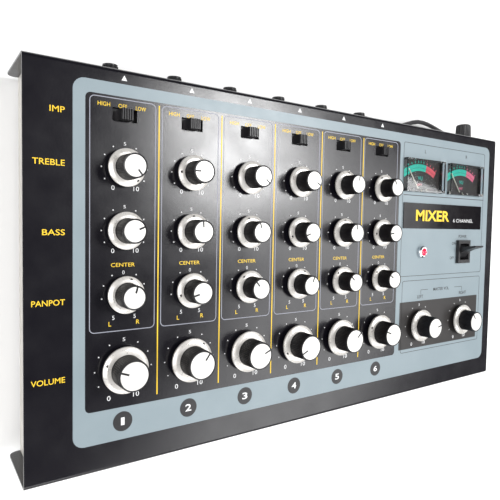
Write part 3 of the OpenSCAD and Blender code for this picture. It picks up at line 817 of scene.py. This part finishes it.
def add_jack_threads():
    """Rolled thread on each socket bushing, and its mouth."""
    out = box_mm("input_jacks")[1].y - REAR_Y
    height = middle("jack_nuts").z
    for i, x in enumerate(CHANNEL_X):
        bm = bmesh.new()
        profile = [(4.55, 2.5)]
        turns = 8
        for k in range(turns):
            z = 2.6 + (out - 3.4) * k / turns
            profile += [(4.62, z), (4.95, z + 0.25), (4.62, z + 0.5)]
        profile += [(4.62, out - 0.5), (4.3, out - 0.02), (3.3, out - 0.02),
                    (3.3, out - 0.3), (4.5, out - 0.6)]
        lathe(bm, profile, 48, closed=True)
        placed(f"jack_thread_{i + 1}", bm, [BLACK_PLASTIC],
               at=(ORIGIN.x + x, REAR_Y, height), turn=(-math.pi / 2, 0, 0),
               smooth_deg=25)


def add_screws():
    """Slotted pan heads on both flanges and under the feet."""
    bm = bmesh.new()
    lathe(bm, [(0, -6), (1.5, -6), (1.5, 0), (3, 0), (3, 0.5), (2.85, 0.9),
               (0, 0.9)], 40)
    for side in (-1, 1):
        half = [(2.75 * math.cos(math.radians(a)) * side,
                 2.75 * math.sin(math.radians(a)))
                for a in range(-82, 83, 8)]
        crown = [(2.05 * math.cos(math.radians(a)) * side,
                  2.05 * math.sin(math.radians(a)))
                 for a in range(-79, 80, 8)]
        dome(bm, half, crown, 0.88, SCREW_HEAD - 0.03)
    mesh = mesh_of("case_screw", bm, [DARK_STEEL], smooth_deg=30)
    front_y = box_mm("top_panel")[0].y
    screw_z = box_mm("base_tray")[0].z + 7
    for k, x in enumerate(REAR_SCREW_X):
        instance(f"rear_screw_{k + 1}", mesh, "case",
                             (x, REAR_Y, screw_z), (-math.pi / 2, 0.4 + k, 0))
        instance(f"front_screw_{k + 1}", mesh, "case",
                             (x, front_y, screw_z), (math.pi / 2, 0.9 + k, 0))
    panel_y = (front_y + REAR_Y) / 2
    for k, (x, y) in enumerate(FOOT_SCREWS):
        instance(f"foot_screw_{k + 1}", mesh, "case",
                             (x, y + panel_y, 2.5), (math.pi, 0, 0.7 * k))
    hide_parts("case_screws")


def dome(bm, foot, crown, z0, z1):
    """A solid that narrows from one outline to another. Where one outline has
    more points, its last ones are left out."""
    low = [bm.verts.new((x, y, z0)) for x, y in foot]
    high = [bm.verts.new((x, y, z1)) for x, y in crown]
    count = min(len(low), len(high))
    low, high = low[:count], high[:count]
    for k in range(count):
        n = (k + 1) % count
        bm.faces.new((low[k], low[n], high[n], high[k]))
    bm.faces.new(high)
    bm.faces.new(low[::-1])


# ---- finishes of the frame's own nodes ----

NODE_FINISH = {
    "top_panel": BLACK_PAINT, "base_tray": CREAM_PAINT, "rubber_feet": RUBBER,
    "circuit_boards": BOARD, "transformer": IRON, "pot_bodies": PLATED,
    "pot_nuts": PLATED, "slide_switch_bodies": DARK_STEEL,
    "input_jacks": BLACK_PLASTIC, "jack_nuts": NICKEL, "output_sockets": NICKEL,
    "fuse_holder_body": BLACK_PLASTIC, "strain_relief": CORD_RUBBER,
    "meter_movements": BLACK_PLASTIC, "meter_dials": DIAL_CARD,
    "meter_windows": CLEAR, "needle_left": NEEDLE, "needle_right": NEEDLE,
    "name_plate": PLATE_BLACK, "pilot_lamp_bezel": CHROME,
    "pilot_lamp_lens": RED_LENS, "power_switch_body": BLACK_PLASTIC,
    "power_lever": BLACK_PLASTIC, "mains_plug": CORD_RUBBER,
}
SOFT_EDGES = {
    "name_plate": 0.25, "power_switch_body": 0.35, "power_lever": 0.25,
    "mains_plug": 1.2, "jack_nuts": 0.2, "base_tray": 0.2,
}


def finish_nodes():
    for node, material in NODE_FINISH.items():
        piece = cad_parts[node]
        piece.data.materials.clear()
        piece.data.materials.append(material)
    for node, width in SOFT_EDGES.items():
        bevelled(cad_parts[node], width)


# ---- studio ----

# name, place, target, size in metres, power in watts
LIGHTS = (
    ("key", (-1.2, -0.1, 1.5), (0, 0, 0), (1.3, 1.3), 28),
    ("fill_front", (-0.2, -1.5, 1.2), (0, 0, 0), (1.2, 0.9), 11),
    ("wash", (0.80, 0.33, 1.5), (0, 0.03, 0.05), (0.50, 0.42), 19),
    ("ceiling", (1.15, -0.55, 1.5), (0.3, -0.1, 0.05), (2.0, 0.7), 19),
)
WORLD_STRENGTH = 0.10
FLOOR_HALF = 4000


def area_light(name, at, target, size, power):
    data = bpy.data.lights.new(name, "AREA")
    data.shape = "RECTANGLE"
    data.size, data.size_y = size
    data.energy = power
    lamp = bpy.data.objects.new(name, data)
    lamp.location = at
    lamp.rotation_euler = (Vector(target) - Vector(at)).to_track_quat(
        "-Z", "Y").to_euler()
    scene.collection.objects.link(lamp)


def add_studio():
    bm = bmesh.new()
    extruded(bm, [rounded(-FLOOR_HALF, -FLOOR_HALF, FLOOR_HALF, FLOOR_HALF, 400)],
             -20, 0)
    floor_paint = finish_of("floor_paint", (0.90, 0.90, 0.90), (0.92, 0.92, 0.92),
                            (0.8, 0.9), grain=30, bump=0.0, patch=2, specular=0.2)
    floor = placed("floor", bm, [floor_paint])
    floor.parent = None
    world = bpy.data.worlds.new("studio")
    world.use_nodes = True
    background = world.node_tree.nodes["Background"]
    background.inputs["Color"].default_value = (1, 1, 1, 1)
    background.inputs["Strength"].default_value = WORLD_STRENGTH
    scene.world = world
    for light in LIGHTS:
        area_light(*light)
    scene.view_settings.view_transform = "Standard"
    scene.view_settings.look = "None"


add_camera()
add_cord()
print_panel()
print_master()
print_name_plate()
print_meters()
add_meter_screws()
add_knobs()
add_sliders()
add_fuse_cap()
add_jack_threads()
add_screws()
finish_nodes()
add_studio()

bpy.context.view_layer.update()
